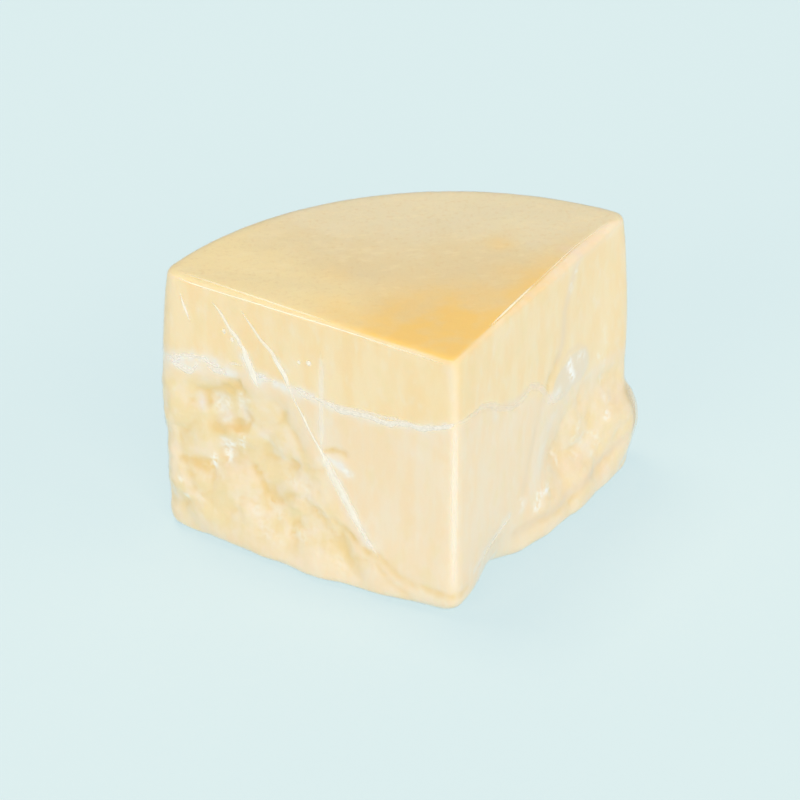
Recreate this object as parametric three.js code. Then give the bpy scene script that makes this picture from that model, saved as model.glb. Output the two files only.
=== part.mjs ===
// A chunk of pecorino romano, vacuum packed in clear film, as one closed solid.
// It is an eighth of a wheel: a quarter in plan and half of the wheel's height. The top is the wheel's flat
// rind, the back is its rim, and two faces meet at the front edge. A knife parted the upper band and a keel
// along the front edge, which are smooth. Beyond a slanting fold on each face the cheese broke, and left
// crags there and a lumpy foot. Units are millimetres. +Z is up, the front edge points to -Y, and the origin
// is under the middle of the chunk's box.
import * as THREE from "three";

// Driving dimensions of the wheel's eighth
const WHEEL_RADIUS = 150;
const HEIGHT = 132;
const SECTOR = THREE.MathUtils.degToRad(91);

// Rounding of the edges, in plan and in profile
const FRONT_EDGE_ROUND = 5;
const TOP_ROUND_AT_CUT = 2.6;
const TOP_ROUND_AT_RIM = 5;
const BASE_ROUND = 4.5;

// The base's edge is worn round under the front edge, and broken away for a short way on the right face
const WORN_FOOT = { reach: 46, extraRound: 6 };
const CHIP = { along: 40, reach: 18, extraRound: 6 };

// How finely each stretch of the outline and of the profile is divided
const STEPS = { frontEdge: 4, cut: 40, corner: 5, rim: 26, baseRound: 3, wall: 31, topRound: 3 };
const CAP_RINGS = [0.7, 0.36];

// The two faces. along and height are shares of the wheel's radius and of the chunk's height.
// A fold runs from its high end to its low end. The face is broken on its rim side, below breakHeight.
const LEFT = {
  side: 1,
  fold: { high: [0.59, 0.7], low: [0.27, 0.1] },
  breakHeight: 0.66,
  rimCornerRound: 9,
  seed: 11,
};
const RIGHT = {
  side: -1,
  fold: { high: [0.62, 0.46], low: [0.34, 0.0] },
  breakHeight: 0.5,
  rimCornerRound: 8,
  seed: 29,
};
const FACES = [LEFT, RIGHT];

// Swellings (out is positive) and hollows (out is negative), each centred on a face and fading with distance.
// along and height are shares as above; wide, tall and out are millimetres.
const SWELLINGS = [
  { face: LEFT, along: 0.52, height: 0.0, wide: 66, tall: 30, out: 6 },
  { face: LEFT, along: 0.95, height: 0.17, wide: 24, tall: 16, out: 2.8 },
  { face: LEFT, along: 1.0, height: 0.6, wide: 28, tall: 44, out: 2.6 },
  { face: LEFT, along: 0.8, height: 0.55, wide: 13, tall: 8, out: -2.6 },
  { face: LEFT, along: 0.74, height: 0.38, wide: 14, tall: 8, out: -2.8 },
  { face: LEFT, along: 0.62, height: 0.25, wide: 9, tall: 13, out: -2.2 },
  { face: LEFT, along: 0.46, height: 0.42, wide: 10, tall: 8, out: 1.8 },
  { face: RIGHT, along: 0.74, height: 0.04, wide: 42, tall: 22, out: 6.5 },
  { face: RIGHT, along: 1.0, height: 0.22, wide: 20, tall: 16, out: 8.8 },
  { face: RIGHT, along: 1.0, height: 0.6, wide: 24, tall: 38, out: 2.8 },
  { face: RIGHT, along: 0.26, height: 0.0, wide: 19, tall: 20, out: -6.5 },
  { face: RIGHT, along: 0.6, height: 0.27, wide: 12, tall: 18, out: -3.2 },
  { face: RIGHT, along: 0.84, height: 0.28, wide: 12, tall: 10, out: 2 },
];

// Relief of the broken faces: rounded lumps between crevices, and a ledge where the break starts
const CRAG = { foldSoftness: 10, breakSoftness: 11, rimReach: 26 };
const CRAG_LUMPS = [
  { size: 24, depth: 4.6 },
  { size: 13, depth: 2.2 },
];
const CRAG_TILT = new THREE.Euler(0.5, 0.7, 0.4);
const LEDGE = { depth: 0.8, soft: 6, fadeUp: 40 };
const TOP_EDGE_FADE = 14;

// The wheel's rim bellies a little, and no rind is quite even
const RIM_BELLY = 1.6;
const RIM_UNEVEN = { size: 58, depth: 0.7, seed: 5 };
const TOP_UNEVEN = { size: 46, depth: 0.5, seed: 2 };

const CHEESE = new THREE.MeshStandardMaterial({ color: 0xf6e4b8, roughness: 0.38, metalness: 0 });

const { lerp, smoothstep } = THREE.MathUtils;

// Seeded noise: a number from 0 to 1 for each cell of a grid
function cellValue(x, y, z, seed) {
  const mixed = Math.sin(x * 127.1 + y * 311.7 + z * 74.7 + seed * 53.3) * 43758.5453;
  return mixed - Math.floor(mixed);
}

// Rounded lumps of about one size: above 0 on a lump's crown, below 0 in the crevice between two
const LUMP_MEAN = 0.3;
function lumps(point, size, seed) {
  const [x, y, z] = point.clone().applyEuler(CRAG_TILT).divideScalar(size).toArray();
  const [cellX, cellY, cellZ] = [x, y, z].map(Math.floor);
  let nearest = Infinity;
  for (let i = cellX - 1; i <= cellX + 1; i++)
    for (let j = cellY - 1; j <= cellY + 1; j++)
      for (let k = cellZ - 1; k <= cellZ + 1; k++) {
        const middle = [0, 1, 2].map((axis) => cellValue(i, j, k, seed + 7 * axis));
        nearest = Math.min(nearest, Math.hypot(x - i - middle[0], y - j - middle[1], z - k - middle[2]));
      }
  return LUMP_MEAN - nearest * nearest;
}

// Smooth waves of about one size, up and down by their depth
function waves({ x, y, z }, { size, depth, seed }) {
  const turn = (2 * Math.PI) / size;
  const first = Math.sin(turn * (0.83 * x + 0.41 * y + 0.37 * z) + seed);
  const second = Math.sin(turn * (-0.36 * x + 0.79 * y - 0.52 * z) + 2.1 * seed);
  const third = Math.sin(turn * (0.51 * x - 0.28 * y + 0.94 * z) + 3.7 * seed);
  return (depth * (first + second + third)) / 3;
}

// A cut face's own directions in plan: along it from the wheel's axis, and out of the cheese
function faceFrame({ side }) {
  const turn = (side * SECTOR) / 2;
  return {
    along: new THREE.Vector2(-Math.sin(turn), Math.cos(turn)),
    out: new THREE.Vector2(-side * Math.cos(turn), -side * Math.sin(turn)),
  };
}

// The plan outline, counter-clockwise from the front edge: right face, rim, left face
function outlineStretches() {
  const left = faceFrame(LEFT);
  const right = faceFrame(RIGHT);
  const frontCentre = new THREE.Vector2(0, FRONT_EDGE_ROUND / Math.sin(SECTOR / 2));
  const cornerCentre = ({ along, out }, round) => {
    const cornerAlong = Math.sqrt((WHEEL_RADIUS - round) ** 2 - round ** 2);
    return along.clone().multiplyScalar(cornerAlong).addScaledVector(out, -round);
  };
  const rightCentre = cornerCentre(right, RIGHT.rimCornerRound);
  const leftCentre = cornerCentre(left, LEFT.rimCornerRound);
  const arc = (centre, radius, from, to) =>
    new THREE.EllipseCurve(centre.x, centre.y, radius, radius, from, to, to < from);
  const turnTo = (angle, after) => (angle < after ? angle + 2 * Math.PI : angle);
  const outLeft = left.out.angle() - 2 * Math.PI;
  const outRight = right.out.angle() - 2 * Math.PI;
  const rimRight = rightCentre.angle();
  const rimLeft = leftCentre.angle();
  const origin = new THREE.Vector2();
  const frontArc = arc(frontCentre, FRONT_EDGE_ROUND, outLeft, outRight);
  const rightArc = arc(rightCentre, RIGHT.rimCornerRound, outRight, rimRight);
  const rimArc = arc(origin, WHEEL_RADIUS, rimRight, rimLeft);
  const leftArc = arc(leftCentre, LEFT.rimCornerRound, rimLeft, turnTo(outLeft, rimLeft));
  const line = (from, to) => new THREE.LineCurve(from.getPoint(1), to.getPoint(0));
  return [
    { curve: frontArc, steps: STEPS.frontEdge, rimShare: () => 0 },
    { curve: line(frontArc, rightArc), steps: STEPS.cut, rimShare: () => 0 },
    { curve: rightArc, steps: STEPS.corner, rimShare: (t) => t },
    { curve: rimArc, steps: STEPS.rim, rimShare: () => 1 },
    { curve: leftArc, steps: STEPS.corner, rimShare: (t) => 1 - t },
    { curve: line(leftArc, frontArc), steps: STEPS.cut, rimShare: () => 0 },
  ];
}

// One column of the wall for each step of the outline: its place, its way out, and its edges' rounding.
// The base rounds in from under: that is the way out, but near the front edge it turns to the front.
function outlineColumns() {
  const right = faceFrame(RIGHT);
  const front = new THREE.Vector2(0, -1);
  const columns = [];
  for (const { curve, steps, rimShare } of outlineStretches())
    for (let step = 0; step < steps; step++) {
      const t = step / steps;
      const place = curve.getPoint(t);
      const tangent = curve.getTangent(t);
      const out = new THREE.Vector2(tangent.y, -tangent.x);
      const fromChip = Math.abs(place.dot(right.along) - CHIP.along) / CHIP.reach;
      const facesRight = smoothstep(out.dot(right.out), 0.5, 1);
      const chip = CHIP.extraRound * (1 - smoothstep(fromChip, 0, 1)) * facesRight;
      const worn = 1 - smoothstep(place.length(), 0, WORN_FOOT.reach);
      const share = rimShare(t);
      columns.push({
        place,
        out,
        under: out.clone().lerp(front, worn).normalize(),
        rimShare: share,
        topRound: lerp(TOP_ROUND_AT_CUT, TOP_ROUND_AT_RIM, share),
        baseRound: BASE_ROUND + Math.max(chip, WORN_FOOT.extraRound * worn),
      });
    }
  return columns;
}

// How far beyond the fold and the break line a point lies, as a share from 0 (knife-cut) to 1 (broken)
function brokenShare(face, place, z) {
  const { along, out } = faceFrame(face);
  const a = place.dot(along);
  const behindFace = Math.max(0, -place.dot(out));
  const [highAlong, highUp] = face.fold.high;
  const [lowAlong, lowUp] = face.fold.low;
  const fold = new THREE.Vector2((highAlong - lowAlong) * WHEEL_RADIUS, (highUp - lowUp) * HEIGHT);
  const fromLow = new THREE.Vector2(a - lowAlong * WHEEL_RADIUS, z - lowUp * HEIGHT);
  const beyondFold = fold.clone().normalize().cross(fromLow) * -1;
  const belowBreak = face.breakHeight * HEIGHT - z;
  return (
    smoothstep(beyondFold, 0, CRAG.foldSoftness) *
    smoothstep(belowBreak, 0, CRAG.breakSoftness) *
    (1 - smoothstep(behindFace, 0, CRAG.rimReach))
  );
}

// The sum of the swellings and hollows at a point of the wall
function swelling(place, z) {
  let sum = 0;
  for (const { face, along, height, wide, tall, out } of SWELLINGS) {
    const middle = faceFrame(face).along.multiplyScalar(along * WHEEL_RADIUS);
    const across = place.distanceTo(middle) / wide;
    const up = (z - height * HEIGHT) / tall;
    sum += out * Math.exp(-across * across - up * up);
  }
  return sum;
}

// A step back under the break line, which closes again towards the foot
function ledge(face, broken, z) {
  const below = face.breakHeight * HEIGHT - z;
  return -LEDGE.depth * broken * smoothstep(below, 0, LEDGE.soft) * (1 - smoothstep(below, 0, LEDGE.fadeUp));
}

// How far the wall stands out of the plain wheel's eighth at a point
function wallRelief({ place, rimShare }, z) {
  const point = new THREE.Vector3(place.x, place.y, z);
  let relief = swelling(place, z);
  for (const face of FACES) {
    const broken = brokenShare(face, place, z);
    if (broken <= 0) continue;
    for (const { size, depth } of CRAG_LUMPS) relief += broken * depth * lumps(point, size, face.seed);
    relief += ledge(face, broken, z);
  }
  const belly = RIM_BELLY * Math.sin((Math.PI * z) / HEIGHT);
  relief += rimShare * (belly + waves(point, RIM_UNEVEN));
  return relief * smoothstep(HEIGHT - z, 0, TOP_EDGE_FADE);
}

// A column's profile from the base to the top: rounded under, straight, rounded over.
// Each row has its height and how far it is set in from the wall in plan.
function columnProfile({ out, under, topRound, baseRound }) {
  const rows = [];
  for (let step = 0; step < STEPS.baseRound; step++) {
    const turn = (Math.PI / 2) * (step / STEPS.baseRound);
    const inset = under.clone().multiplyScalar(baseRound * (Math.sin(turn) - 1));
    rows.push({ z: baseRound * (1 - Math.cos(turn)), inset });
  }
  const wallTop = HEIGHT - topRound;
  for (let step = 0; step < STEPS.wall; step++)
    rows.push({ z: lerp(baseRound, wallTop, step / STEPS.wall), inset: new THREE.Vector2() });
  for (let step = 0; step <= STEPS.topRound; step++) {
    const turn = (Math.PI / 2) * (step / STEPS.topRound);
    const inset = out.clone().multiplyScalar(topRound * (Math.cos(turn) - 1));
    rows.push({ z: wallTop + topRound * Math.sin(turn), inset });
  }
  return rows;
}

// The closed surface: rings of the wall from base to top, then the two caps closing in on their middles
function chunkGeometry() {
  const columns = outlineColumns();
  const count = columns.length;
  const profiles = columns.map(columnProfile);
  const rowCount = profiles[0].length;
  const positions = [];
  const triangles = [];

  const addRing = (pointOf) => {
    const first = positions.length / 3;
    columns.forEach((column, index) => positions.push(...pointOf(column, index).toArray()));
    return first;
  };
  const joinRings = (lower, upper) => {
    for (let i = 0; i < count; i++) {
      const next = (i + 1) % count;
      triangles.push(lower + i, lower + next, upper + next, lower + i, upper + next, upper + i);
    }
  };

  const wallRings = [];
  for (let row = 0; row < rowCount; row++)
    wallRings.push(
      addRing((column, index) => {
        const { z, inset } = profiles[index][row];
        const place = column.place.clone().addScaledVector(column.out, wallRelief(column, z)).add(inset);
        return new THREE.Vector3(place.x, place.y, z);
      }),
    );
  for (let row = 1; row < rowCount; row++) joinRings(wallRings[row - 1], wallRings[row]);

  const addCap = (edgeRing, heightAt, facesUp) => {
    const middle = new THREE.Vector2();
    const edge = columns.map((_, i) => {
      const at = 3 * (edgeRing + i);
      return new THREE.Vector2(positions[at], positions[at + 1]);
    });
    edge.forEach((point) => middle.addScaledVector(point, 1 / count));
    let outer = edgeRing;
    for (const share of CAP_RINGS) {
      const inner = addRing((_, i) => {
        const place = middle.clone().lerp(edge[i], share);
        return new THREE.Vector3(place.x, place.y, heightAt(place));
      });
      if (facesUp) joinRings(outer, inner);
      else joinRings(inner, outer);
      outer = inner;
    }
    const centre = positions.length / 3;
    positions.push(middle.x, middle.y, heightAt(middle));
    for (let i = 0; i < count; i++) {
      const next = (i + 1) % count;
      if (facesUp) triangles.push(outer + i, outer + next, centre);
      else triangles.push(outer + next, outer + i, centre);
    }
  };
  const unevenTop = ({ x, y }) => HEIGHT + waves({ x, y, z: 0 }, TOP_UNEVEN);
  addCap(wallRings[0], () => 0, false);
  addCap(wallRings[rowCount - 1], unevenTop, true);

  const geometry = new THREE.BufferGeometry();
  geometry.setAttribute("position", new THREE.Float32BufferAttribute(positions, 3));
  geometry.setIndex(triangles);
  return geometry;
}

// The chunk, moved so that the origin lies under the middle of its box
function wrappedChunk() {
  const geometry = chunkGeometry();
  geometry.computeBoundingBox();
  const middle = geometry.boundingBox.getCenter(new THREE.Vector3());
  geometry.translate(-middle.x, -middle.y, 0);
  geometry.computeVertexNormals();
  const mesh = new THREE.Mesh(geometry, CHEESE);
  mesh.name = "pecorino_chunk";
  return mesh;
}

const part = new THREE.Group();
part.add(wrappedChunk());

export default part;
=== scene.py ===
"""Looks of a vacuum-packed chunk of pecorino romano, in metres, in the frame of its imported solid."""
import math
import random

import bmesh
import bpy
import numpy as np
from mathutils import Matrix, Vector


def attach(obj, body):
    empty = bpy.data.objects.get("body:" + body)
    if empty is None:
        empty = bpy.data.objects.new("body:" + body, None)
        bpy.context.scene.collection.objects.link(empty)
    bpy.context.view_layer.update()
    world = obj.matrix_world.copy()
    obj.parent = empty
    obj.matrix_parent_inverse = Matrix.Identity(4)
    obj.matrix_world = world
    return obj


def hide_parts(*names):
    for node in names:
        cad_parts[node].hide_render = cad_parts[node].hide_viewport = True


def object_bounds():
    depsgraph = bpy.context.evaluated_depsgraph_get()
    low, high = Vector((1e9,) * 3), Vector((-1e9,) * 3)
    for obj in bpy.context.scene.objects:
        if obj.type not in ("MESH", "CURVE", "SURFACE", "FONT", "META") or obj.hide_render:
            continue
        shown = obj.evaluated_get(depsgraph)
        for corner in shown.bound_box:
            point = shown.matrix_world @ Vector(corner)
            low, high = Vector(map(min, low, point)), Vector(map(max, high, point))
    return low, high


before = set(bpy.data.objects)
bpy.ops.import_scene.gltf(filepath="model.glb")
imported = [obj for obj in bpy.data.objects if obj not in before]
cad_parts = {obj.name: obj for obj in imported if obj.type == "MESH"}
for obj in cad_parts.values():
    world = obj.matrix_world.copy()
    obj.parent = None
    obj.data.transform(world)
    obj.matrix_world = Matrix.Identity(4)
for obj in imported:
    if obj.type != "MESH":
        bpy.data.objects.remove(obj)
solid_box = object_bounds()


# The cheese
# An eighth of a wheel of hard ewe's-milk cheese, with salted rind on its flat top and round back. A knife
# parted the upper band and a keel along the front edge, and the rest broke into crags. Their hollows are
# painted a golden shade.
MM = 0.001
WHEEL_RADIUS = 150 * MM
HEIGHT = 132 * MM
SECTOR = math.radians(91)
FRONT_EDGE_ROUND = 5 * MM

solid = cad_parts["pecorino_chunk"]
front_edge = min((vertex.co for vertex in solid.data.vertices), key=lambda place: place.y)
axis_behind_edge = FRONT_EDGE_ROUND * (1 / math.sin(SECTOR / 2) - 1)
wheel_axis = np.array([front_edge.x, front_edge.y - axis_behind_edge])

# Each cut face: its way along, from the wheel's axis to the rim, and its way out of the cheese, in plan.
# The fold is the line where the knife's cut ends and the break begins, and the seam is the film's. Both are
# (along, up), as shares of the radius and of the height.
half_turn = SECTOR / 2
FRONT_SEAM = 0.757
FACES = {
    "left": {
        "along": np.array([-math.sin(half_turn), math.cos(half_turn)]),
        "out": np.array([-math.cos(half_turn), -math.sin(half_turn)]),
        "fold": ((0.59, 0.70), (0.27, 0.10)),
        "break_height": 0.66,
        "cragginess": 1.0,
        "seam": [
            (0, FRONT_SEAM), (0.13, 0.703), (0.24, 0.685), (0.48, 0.7), (0.68, 0.71), (0.9, 0.69), (1, 0.66),
        ],
    },
    "right": {
        "along": np.array([math.sin(half_turn), math.cos(half_turn)]),
        "out": np.array([math.cos(half_turn), -math.sin(half_turn)]),
        "fold": ((0.62, 0.46), (0.34, 0.0)),
        "break_height": 0.50,
        "cragginess": 0.6,
        "seam": [
            (0, FRONT_SEAM), (0.15, 0.744), (0.25, 0.68), (0.4, 0.634), (0.54, 0.53), (0.75, 0.5), (1, 0.5),
        ],
    },
}


def ease(value, low, high):
    """0 below low, 1 above high, and a smooth rise between."""
    share = np.clip((value - low) / (high - low), 0, 1)
    return share * share * (3 - 2 * share)


def on_face(points, face):
    """A face's own coordinates of points: along it, up, and out of it, in metres."""
    plan = points[:, :2] - wheel_axis
    return plan @ FACES[face]["along"], points[:, 2], plan @ FACES[face]["out"]


# Strokes on the faces are lists of (along, up) in millimetres, and their reach is in millimetres too. Behind
# a face they fade out by this depth.
FACE_DEPTH = 16 * MM


def stroke_share(points, face, stroke, reach):
    """1 on a stroke drawn on a face, fading to 0 with distance from it."""
    along, up, out = on_face(points, face)
    place = np.stack([along, up], axis=1)
    corners = np.array(stroke) * MM
    nearest = np.full(len(points), np.inf)
    for start, end in zip(corners, corners[1:]):
        run = end - start
        share = np.clip((place - start) @ run / (run @ run), 0, 1)
        nearest = np.minimum(nearest, np.linalg.norm(place - start - share[:, None] * run, axis=1))
    return np.exp(-((nearest / (reach * MM)) ** 2)) * (1 - ease(-out, FACE_DEPTH / 2, FACE_DEPTH))


def strongest(points, strokes):
    """The most that any stroke gives each point. A stroke has its face, line, reach and what it gives."""
    most = np.zeros(len(points))
    for face, stroke, reach, amount in strokes:
        most = np.maximum(most, amount * stroke_share(points, face, stroke, reach))
    return most


# The heights between which the film's smoothing of the foot fades out
FOOT_BAND = (5 * MM, 17 * MM)
FOOT_SMOOTH = 0.8


def broken_share(points):
    """How broken the cheese is at points: 0 where the knife parted it, most beyond a fold and break."""
    fold_soft, break_soft, rim_reach = 10 * MM, 11 * MM, 26 * MM
    total = np.zeros(len(points))
    for name, face in FACES.items():
        along, up, out = on_face(points, name)
        high, low = np.array(face["fold"]) * (WHEEL_RADIUS, HEIGHT)
        fold = (high - low) / np.linalg.norm(high - low)
        beyond_fold = (along - low[0]) * fold[1] - (up - low[1]) * fold[0]
        below_break = face["break_height"] * HEIGHT - up
        behind = np.maximum(0, -out)
        share = face["cragginess"] * ease(beyond_fold, 0, fold_soft) * ease(below_break, 0, break_soft)
        total = np.maximum(total, share * (1 - ease(behind, 0, rim_reach)))
    return total * (1 - FOOT_SMOOTH * (1 - ease(points[:, 2], *FOOT_BAND)))


def below_seam_share(points):
    """1 below the film's seam and 0 above it, on the face that each point is nearer to."""
    soft = 3 * MM
    below, outs = [], []
    for name, face in FACES.items():
        along, up, out = on_face(points, name)
        shares, heights = np.array(face["seam"]).T
        below.append(ease(np.interp(along / WHEEL_RADIUS, shares, heights) * HEIGHT - up, -soft, soft))
        outs.append(out)
    return np.where(outs[0] > outs[1], below[0], below[1])


def wheel_place(radius_share, degrees, height_share=1.0):
    """A point of the wheel, on its top unless a height is given. It turns from the middle to the right."""
    turn = math.radians(degrees)
    reach = radius_share * WHEEL_RADIUS
    plan = wheel_axis + reach * np.array([math.sin(turn), math.cos(turn)])
    return (plan[0], plan[1], height_share * HEIGHT)


def vectors_of(items, name):
    """A mesh's places or normals, a row for each."""
    flat = np.empty(len(items) * 3, np.float32)
    items.foreach_get(name, flat)
    return flat.reshape(-1, 3).astype(float)


def paint(mesh, name, values):
    """Keeps one number for each point of a mesh, for its shape tree and its material."""
    layer = mesh.attributes.new(name, "FLOAT", "POINT")
    layer.data.foreach_set("value", np.asarray(values, np.float32))


def settled_mesh(maker):
    """The plain mesh that an object's modifiers give. The object itself is dropped."""
    bpy.context.scene.collection.objects.link(maker)
    depsgraph = bpy.context.evaluated_depsgraph_get()
    mesh = bpy.data.meshes.new_from_object(
        maker.evaluated_get(depsgraph), preserve_all_data_layers=True, depsgraph=depsgraph
    )
    bpy.data.objects.remove(maker)
    return mesh


def even_skin(voxel, smoothing_steps):
    """A copy of the solid's surface, divided evenly on a grid that the cut faces lie along."""
    mesh = solid.data.copy()
    shape = bmesh.new()
    shape.from_mesh(mesh)
    bmesh.ops.remove_doubles(shape, verts=shape.verts, dist=0.001 * MM)
    shape.to_mesh(mesh)
    shape.free()
    square_to_grid = Matrix.Rotation(half_turn, 4, "Z")
    mesh.transform(square_to_grid)
    maker = bpy.data.objects.new("skin_maker", mesh)
    even = maker.modifiers.new("even", "REMESH")
    even.mode = "VOXEL"
    even.voxel_size = voxel
    even.use_smooth_shade = True
    rounded = maker.modifiers.new("rounded", "SMOOTH")
    rounded.factor = 0.5
    rounded.iterations = smoothing_steps
    skin = settled_mesh(maker)
    skin.transform(square_to_grid.inverted())
    skin.materials.clear()
    return skin


def add_node(tree, kind, inputs=None, **settings):
    """Adds a node with its settings, and sets its inputs, or links them where a socket is given."""
    node = tree.nodes.new(kind)
    for name, value in settings.items():
        setattr(node, name, value)
    for key, value in (inputs or {}).items():
        if isinstance(value, bpy.types.NodeSocket):
            tree.links.new(value, node.inputs[key])
        else:
            node.inputs[key].default_value = value
    return node


def sum_up(tree, operation, first, second=0.0, third=0.0):
    """The result of one arithmetic step."""
    return add_node(tree, "ShaderNodeMath", {0: first, 1: second, 2: third}, operation=operation).outputs[0]


def times(tree, first, *others):
    """The product of two or more values."""
    for other in others:
        first = sum_up(tree, "MULTIPLY", first, other)
    return first


def of_vectors(tree, operation, first, second):
    """The result of one step with two vectors, or with a vector and the number that scales it."""
    inputs = {0: first, ("Scale" if operation == "SCALE" else 1): second}
    node = add_node(tree, "ShaderNodeVectorMath", inputs, operation=operation)
    return node.outputs["Value" if operation == "DOT_PRODUCT" else 0]


def point_value(tree, name, kind="FLOAT"):
    """What was painted on the mesh, in a shape tree."""
    return add_node(tree, "GeometryNodeInputNamedAttribute", {"Name": name}, data_type=kind).outputs[0]


def keep_value(tree, geometry, name, value, kind="FLOAT"):
    """Paints a value on the mesh from within a shape tree."""
    return add_node(
        tree,
        "GeometryNodeStoreNamedAttribute",
        {"Geometry": geometry, "Name": name, "Value": value},
        data_type=kind,
        domain="POINT",
    ).outputs[0]


def shape_tree(name, sizes, objects=()):
    """A Geometry Nodes tree for named sizes and objects, the box and a material, and its input node."""
    tree = bpy.data.node_groups.new(name, "GeometryNodeTree")
    inputs = {
        "Geometry": ["Geometry"],
        "Object": objects,
        "Float": sizes,
        "Vector": ["Low corner", "High corner"],
        "Material": ["Material"],
    }
    for kind, labels in inputs.items():
        for label in labels:
            tree.interface.new_socket(label, in_out="INPUT", socket_type="NodeSocket" + kind)
    tree.interface.new_socket("Geometry", in_out="OUTPUT", socket_type="NodeSocketGeometry")
    return tree, tree.nodes.new("NodeGroupInput")


def moved_to(tree, geometry, place):
    """The geometry with its points moved to places."""
    return add_node(tree, "GeometryNodeSetPosition", {"Geometry": geometry, "Position": place}).outputs[0]


def end_tree(tree, given, geometry):
    """Ends a tree: the piece is held in the solid's box, shaded smooth and given its material."""
    place = add_node(tree, "GeometryNodeInputPosition").outputs[0]
    held = of_vectors(tree, "MAXIMUM", place, given.outputs["Low corner"])
    held = of_vectors(tree, "MINIMUM", held, given.outputs["High corner"])
    boxed = moved_to(tree, geometry, held)
    smooth = add_node(tree, "GeometryNodeSetShadeSmooth", {"Geometry": boxed})
    real = add_node(tree, "GeometryNodeRealizeInstances", {"Geometry": smooth.outputs[0]})
    inputs = {"Geometry": real.outputs[0], "Material": given.outputs["Material"]}
    dressed = add_node(tree, "GeometryNodeSetMaterial", inputs)
    add_node(tree, "NodeGroupOutput", {"Geometry": dressed.outputs[0]})


def shaped_piece(name, mesh, tree, values):
    """Runs a tree on a mesh and gives the piece, a plain mesh at the origin, in the solid's place."""
    maker = bpy.data.objects.new(name + "_maker", mesh)
    run = maker.modifiers.new("shape", "NODES")
    run.node_group = tree
    values = {"Low corner": tuple(solid_box[0]), "High corner": tuple(solid_box[1]), **values}
    for item in tree.interface.items_tree:
        if item.in_out == "INPUT" and item.name in values:
            run[item.identifier] = values[item.name]
    piece = bpy.data.objects.new(name, settled_mesh(maker))
    piece.data.name = name
    bpy.context.scene.collection.objects.link(piece)
    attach(piece, "root")
    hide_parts("pecorino_chunk")
    return piece


def noise_node(tree, place, size, detail=2.0):
    """A noise texture of about one size."""
    scale = sum_up(tree, "DIVIDE", 1.0, size)
    return add_node(tree, "ShaderNodeTexNoise", {"Vector": place, "Scale": scale, "Detail": detail})


def unevenness(tree, place, size, detail=2.0):
    """Noise of about one size, from about -0.5 to 0.5."""
    return sum_up(tree, "SUBTRACT", noise_node(tree, place, size, detail).outputs[0], 0.5)


def patchiness(tree, place, size, detail, contrast, mean=1.0):
    """Noise of about one size that spreads by a contrast round a mean."""
    return sum_up(tree, "MULTIPLY_ADD", unevenness(tree, place, size, detail), contrast, mean)


def wandered(tree, place, size, reach):
    """Places moved aside by noise of about one size."""
    centred = of_vectors(tree, "SUBTRACT", noise_node(tree, place, size).outputs["Color"], (0.5, 0.5, 0.5))
    return of_vectors(tree, "ADD", place, of_vectors(tree, "SCALE", centred, reach))


LUMP_SOFTNESS = 0.2
MEAN_DOME = 0.3


def lumps(tree, place, size):
    """Rounded lumps of about one size: above 0 on a crown, below 0 in the crevice between two."""
    cells = add_node(
        tree,
        "ShaderNodeTexVoronoi",
        {"Vector": place, "Scale": sum_up(tree, "DIVIDE", 1.0, size), "Smoothness": LUMP_SOFTNESS},
        feature="SMOOTH_F1",
    )
    return sum_up(tree, "SUBTRACT", MEAN_DOME, sum_up(tree, "POWER", cells.outputs["Distance"], 2.0))


# Hollows of the broken faces and grooves under the film's folds: a face, a stroke, its reach and its depth.
# The depth sinks the cheese and also paints a golden shade into it.
HOLLOWS = [
    ("left", [(128, 73), (128, 75), (123, 76), (117, 79), (110, 83)], 4.2, 2.2),
    ("left", [(115, 81), (112, 85)], 4.2, 3.2),
    ("left", [(121, 60), (116, 63), (112, 64), (109, 66), (107, 69)], 4.4, 2.2),
    ("left", [(111, 64), (108, 66)], 4, 3.2),
    ("left", [(138, 39), (134, 39), (127, 38)], 4.2, 2),
    ("left", [(136, 34), (134, 26)], 3.4, 1.2),
    ("left", [(103, 45), (100, 42), (98, 38), (94, 32)], 2.4, 1.7),
    ("left", [(94, 32), (90, 32), (83, 38), (76, 35), (67, 32), (60, 22)], 3, 1.4),
    ("left", [(85, 53), (77, 53), (67, 56)], 2, 0.9),
    ("left", [(66, 66), (61, 68), (57, 67)], 2, 1.7),
    ("left", [(57, 30), (51, 26), (44, 22), (39, 20)], 2.4, 1.4),
    ("left", [(54, 17), (48, 17), (43, 18)], 2.6, 0.9),
    ("left", [(38, 21), (26, 14), (16, 12), (0, 11)], 2.6, 1.3),
    ("left", [(40, 20), (34, 12), (22, 5)], 2.4, 1),
    ("left", [(60, 87), (51, 88), (43, 89), (35, 88), (24, 91), (11, 93)], 1.8, 0.6),
    ("left", [(87, 28), (82, 25), (81, 19)], 2.2, 0.9),
    ("left", [(62, 34), (58, 29), (55, 23), (52, 16)], 2.4, 0.9),
    ("left", [(72, 50), (70, 45), (67, 43)], 2, 0.7),
    ("right", [(130, 20), (121, 15), (105, 16), (93, 11), (78, 12), (64, 14), (54, 15)], 2.8, 1.3),
    ("right", [(74, 71), (71, 64), (68, 54), (65, 48), (61, 35)], 3, 0.6),
    ("right", [(89, 88), (84, 83), (81, 79), (80, 75)], 3.4, 1.4),
    ("right", [(13, 97), (23, 96), (30, 93), (38, 88), (47, 83), (54, 81), (60, 82)], 2.6, 0.8),
]
# The air pocket in the film on the right face: a face, a stroke and its reach
AIR_POCKET = ("right", [(93, 72), (101, 75), (107, 74)], 9)
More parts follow.
